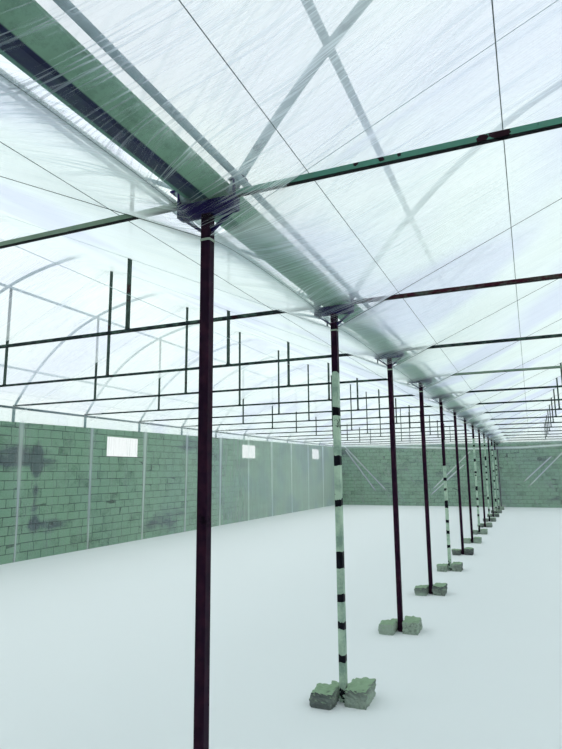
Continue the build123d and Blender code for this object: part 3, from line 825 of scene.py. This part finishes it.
end_area = 2 * eave_stop * (lining_top + lining_z(eave_stop)) / 4
end_area += eave_stop * (lining_top + lining_valley) / 2
door_cuts = [((door_low.x, 0, 0), (1, 0, 0)), ((door_high.x, 0, 0), (1, 0, 0)),
             ((0, 0, door_low.z), (0, 0, 1))]
film_y = lining_end + film / 2 + seat
for name, y, grid, replaced in (
    ("far", film_y, (400, 110), ["far_lining"]),
    ("near", -film_y, (240, 80), ["near_lining", "near_lining_over_door"]),
):
    sheet = cloth(*grid, end_lining_shape(y, name == "far"))
    area = end_area
    if name == "near":
        for point, normal in door_cuts:
            bmesh.ops.bisect_plane(sheet, geom=sheet.verts[:] + sheet.edges[:] + sheet.faces[:],
                                   plane_co=point, plane_no=normal)
        in_doorway = [f for f in sheet.faces if door_low.x < f.calc_center_median().x < door_high.x
                      and f.calc_center_median().z < door_low.z]
        bmesh.ops.delete(sheet, geom=in_doorway, context="FACES")
        area -= (door_high.x - door_low.x) * door_low.z
        bmesh.ops.reverse_faces(sheet, faces=sheet.faces)
    hung = piece(f"{name}_end_lining", sheet, far_film, replaced, smooth=True)


# Masonry: bevelled blocks in running bond on a core of mortar, cut round the openings
def cut_round(rect, hole):
    """What is left of a rectangle (along, along, up, up) outside a hole."""
    a0, a1, z0, z1 = rect
    h0, h1, k0, k1 = hole
    if a1 <= h0 or a0 >= h1 or z1 <= k0 or z0 >= k1:
        return [rect]
    middle = (max(a0, h0), min(a1, h1))
    parts = [(a0, min(a1, h0), z0, z1), (max(a0, h1), a1, z0, z1), (*middle, z0, k0), (*middle, k1, z1)]
    return [p for p in parts if p[1] - p[0] > least_cut_length and p[3] - p[2] > least_cut_height]


def block_faces(start, stop, top_at, holes):
    """Rectangles of the blocks of a wall, course by course."""
    faces = []
    for row in range(ceil(top_at(stop) / course)):
        along = start - (0.5 * block_length if row % 2 else 0) - draw.random() * start_play
        while along < stop:
            length = block_length + draw.uniform(-length_play, length_play)
            a0, a1 = max(along, start), min(along + length - joint, stop)
            z0 = row * course + draw.uniform(-bed_play, bed_play) if row else 0.0
            z1 = min((row + 1) * course - joint, top_at(a0), top_at(a1))
            along += length
            if a1 - a0 < least_length or z1 - z0 < least_height:
                continue
            rects = [(a0, a1, z0, z1)]
            for hole in holes:
                rects = [part for rect in rects for part in cut_round(rect, hole)]
            faces += rects
    return faces


def core(sizes, top_at):
    """Boxes of mortar in one mesh, their tops cut to the wall's top where they reach it."""
    made = bmesh.new()
    for low, high, _ in sizes:
        for v in add_box(made, low, high):
            v.co.z = min(v.co.z, top_at(v.co.y) - joint_depth)
    return made


windows = []
for i in range(window_count):
    middle = window_row_middle + window_pitch * (i - (window_count - 1) / 2)
    head = side_top(middle) - window_below_top
    windows.append((middle - window_width / 2, middle + window_width / 2, head - window_height, head))
edges = [-wall_end + joint_depth]
for start, stop, sill, head in windows:
    edges += [start - joint_depth, stop + joint_depth]
edges.append(wall_end - joint_depth)
for side, name in ((1, "right"), (-1, "left")):
    sizes = []
    for a0, a1, z0, z1 in block_faces(-wall_end, wall_end, side_top, windows):
        depth = draw.uniform(0, face_play)
        across = side * (wall_in + depth), side * (wall_out - depth)
        sizes.append(box(across, (a0, a1), (z0, z1), draw.random()))
    piece(f"{name}_wall_blocks", boxes(sizes, block_wear, block_jitter), block_finish,
          [f"{name}_wall_piers", f"{name}_wall_panels", f"{name}_wall_heads"])
    across = side * (wall_in + joint_depth), side * (wall_out - joint_depth)
    sizes = [box(across, ends, (0, far_high.z)) for ends in zip(edges[::2], edges[1::2])]
    for start, stop, sill, head in windows:
        ends = start - joint_depth, stop + joint_depth
        sizes.append(box(across, ends, (0, sill - joint_depth)))
        sizes.append(box(across, ends, (head + joint_depth, far_high.z)))
    piece(f"{name}_wall_mortar", core(sizes, side_top), mortar_finish)

doorway = (door_low.x, door_high.x, -1.0, door_low.z)
for name, low, high, holes, replaced in (
    ("far_wall", far_low, far_high, [], ["far_wall"]),
    ("near_wall", near_low, near_high, [doorway], ["near_wall", "near_door_head"]),
):
    sizes = []
    for a0, a1, z0, z1 in block_faces(low.x, high.x, lambda x: high.z, holes):
        depth = draw.uniform(0, face_play)
        sizes.append(box((a0, a1), (low.y + depth, high.y - depth), (z0, z1), draw.random()))
    piece(f"{name}_blocks", boxes(sizes, block_wear, block_jitter), block_finish, replaced)
    through = low.y + joint_depth, high.y - joint_depth
    sizes = [box((low.x, high.x), through, (0, high.z))]
    if holes:
        door_sides = door_low.x - joint_depth, door_high.x + joint_depth
        sizes = [box((low.x, door_sides[0]), through, (0, high.z)),
                 box((door_sides[1], high.x), through, (0, high.z)),
                 box(door_sides, through, (door_low.z + joint_depth, high.z))]
    piece(f"{name}_mortar", core(sizes, lambda y: high.z), mortar_finish)

# Footing blocks: broken pieces, three at a post and two at an end, worn in from the frame's boxes
pad_low, pad_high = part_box("post_pads")
beside_post, end_pad_inset, pad_height = 0.0253, 0.030, 0.110
pieces_at_post = [((-0.200, -beside_post), (-0.200, 0.015), (0, pad_height)),
                  ((beside_post, 0.200), (-0.100, 0.200), (0, 0.1265)),
                  ((-0.140, 0.015), (0.026, 0.170), (0, 0.088))]
face_wear, corner_wear, most_wear = 0.020, 0.007, 0.04
rubble = bmesh.new()
tone_layer = rubble.verts.layers.float.new("tone")
number_layer = rubble.verts.layers.int.new("number")
broken = []
for y in frames[1:-1]:
    shift_along = Vector((0, y, 0))
    for ends in pieces_at_post:
        low, high, _ = box(*ends)
        broken.append((low + shift_along, high + shift_along))
for side in (-1, 1):
    for across in ((-pad_high.x, -beside_post), (beside_post, pad_high.x)):
        ends = side * (half_length - end_pad_inset), side * abs(pad_low.y)
        broken.append(box(across, ends, (0, pad_height))[:2])
for number, (low, high) in enumerate(broken):
    value = draw.random()
    for v in add_box(rubble, low, high):
        v[tone_layer] = value
        v[number_layer] = number
bmesh.ops.subdivide_edges(rubble, edges=rubble.edges[:], cuts=9, use_grid_fill=True)
for v in rubble.verts:
    low, high = broken[v[number_layer]]
    rough = 0.5 + 0.5 * noise.noise(v.co * 14) + 0.5 * noise.noise(v.co * 45)
    away = [2 * (v.co[i] - low[i]) / (high[i] - low[i]) - 1 for i in range(3)]
    corner = max(sum(a * a for a in away) - 1.6, 0) * 0.5
    for i in range(3):
        if i < 2 or v.co.z > 0.001:
            worn = (face_wear * rough + corner_wear * corner) * away[i]
            v.co[i] -= max(min(worn, most_wear), -most_wear)
piece("broken_footing_blocks", rubble, broken_concrete, ["post_pads"])

# Weld lumps at the feet of the struts, two to a foot
strut_xs = [queen_low.x + strut_side / 2, mid, queen_high.x - strut_side / 2]
lump_radius, lump_play, lump_rise = 0.013, 0.004, 0.003
lumps = bmesh.new()
for y in frames:
    for x in strut_xs:
        for side in (-1, 1):
            for nudge in (-0.6, 0.6):
                beside = side * x + nudge * strut_side + draw.uniform(-lump_play, lump_play)
                place = Matrix.Translation((beside, y, tie_high.z + lump_rise))
                place = place @ Matrix.Diagonal((draw.uniform(0.8, 1.3), 1, 0.7, 1))
                bmesh.ops.create_icosphere(lumps, subdivisions=2, radius=lump_radius, matrix=place)
piece("weld_lumps", lumps, weld_metal, smooth=True)

# Turns of pale string round each post, and the knots of the lining's strings at the eave
turn_radius, turn_gap, turn_pitch = 0.0021, 0.0005, 0.0042
turns_each, turn_squareness = 3, 7
below_string = 0.004
turn = bmesh.new()
section = bmesh.ops.create_circle(turn, cap_ends=False, segments=6, radius=turn_radius)["verts"]
bmesh.ops.rotate(turn, verts=section, matrix=Matrix.Rotation(pi / 2, 3, "X"))
bmesh.ops.translate(turn, verts=section, vec=(1, 0, 0))
bmesh.ops.spin(turn, geom=turn.edges[:], cent=(0, 0, 0), axis=(0, 0, 1), angle=2 * pi, steps=32,
               use_merge=True)
for v in turn.verts:
    reach = hypot(v.co.x, v.co.y)
    c, s = v.co.x / reach, v.co.y / reach
    squared = (abs(c) ** turn_squareness + abs(s) ** turn_squareness) ** (-1 / turn_squareness)
    around = squared * (half_post + turn_radius + turn_gap) + reach - 1
    v.co.x, v.co.y = c * around, s * around
bmesh.ops.recalc_face_normals(turn, faces=turn.faces)
turns = [Matrix.Translation((0, y, string_z - below_string + turn_pitch * k))
         for y in frames[1:-1] for k in range(turns_each)]
piece("string_turns", repeated(turn, turns), pale_string, ["post_ties"], smooth=True)
knots = bmesh.new()
knot_x, knot_radius, before_tie = 7.60, 0.013, 0.009
for y in frames[1:-1]:
    for side in (-1, 1):
        place = Matrix.Translation((side * knot_x, y - tie_side / 2 - before_tie,
                                    lining_z(knot_x) - below_string))
        bmesh.ops.create_icosphere(knots, subdivisions=2, radius=knot_radius, matrix=place)
piece("string_knots", knots, knot_finish, smooth=True)

# CAD nodes that keep their shape
dress(saddle_paint, "post_saddles")
dress(gutter_finish, "valley_gutter")
dress(rail_pipe, "gutter_rails")
dress(dull_pipe, "purlins_left", "purlins_right", "ridge_pipes")
dress(strut_paint, "king_posts_left", "king_posts_right", "queen_posts_left", "queen_posts_right")
dress(rail_paint, "eave_rails")
dress(stub_paint, "wall_stubs")
dress(outer_film, "far_gable_films", "near_gable_films", "eave_skirt_films")
dress(wire_finish, "lining_wires")
dress(string_finish, "lining_strings")
